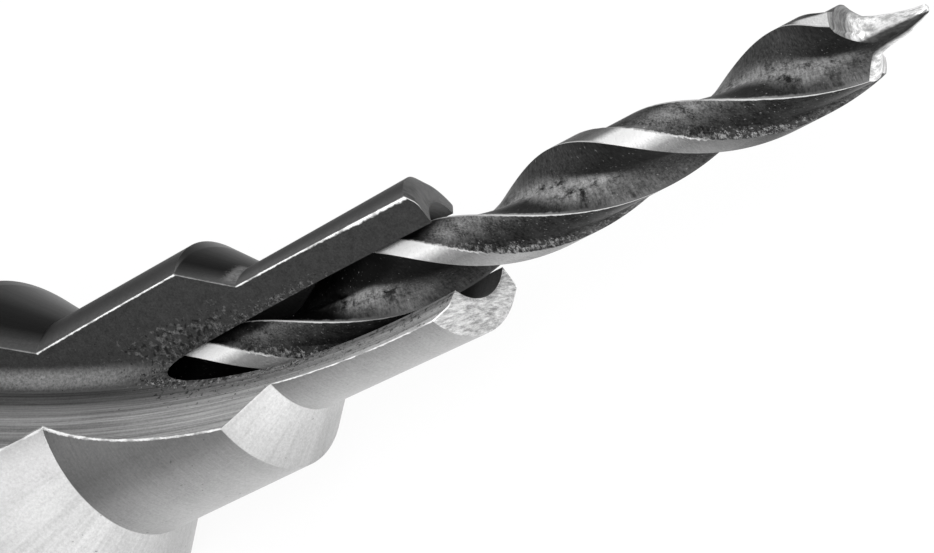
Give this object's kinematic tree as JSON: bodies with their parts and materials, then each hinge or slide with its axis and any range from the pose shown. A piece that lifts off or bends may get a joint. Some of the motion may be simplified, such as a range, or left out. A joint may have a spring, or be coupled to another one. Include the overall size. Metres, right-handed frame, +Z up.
{
  "type": "confirmat drill bit",
  "caption": "Stepped counterbore bit with milled flutes, conical shoulders, a clamped brad-point pilot drill and a hexagon shank.",
  "frame": {"origin": "centre of the bounding box, on the surface that the collar's lower flat lies on", "axes": "+X along the tool's axis towards the pilot's tip, +Z up, square to the collar's flats"},
  "size_m": [0.0952, 0.018, 0.016],
  "materials": {
    "body_steel": "satin, with machining marks",
    "pilot_steel": "dark flutes with bright ground margins",
    "screw_steel": "blackened"
  },
  "bodies": {
    "root": {"cutter_body": "body_steel", "pilot_drill": "pilot_steel", "clamp_screw": "screw_steel"}
  },
  "joints": []
}
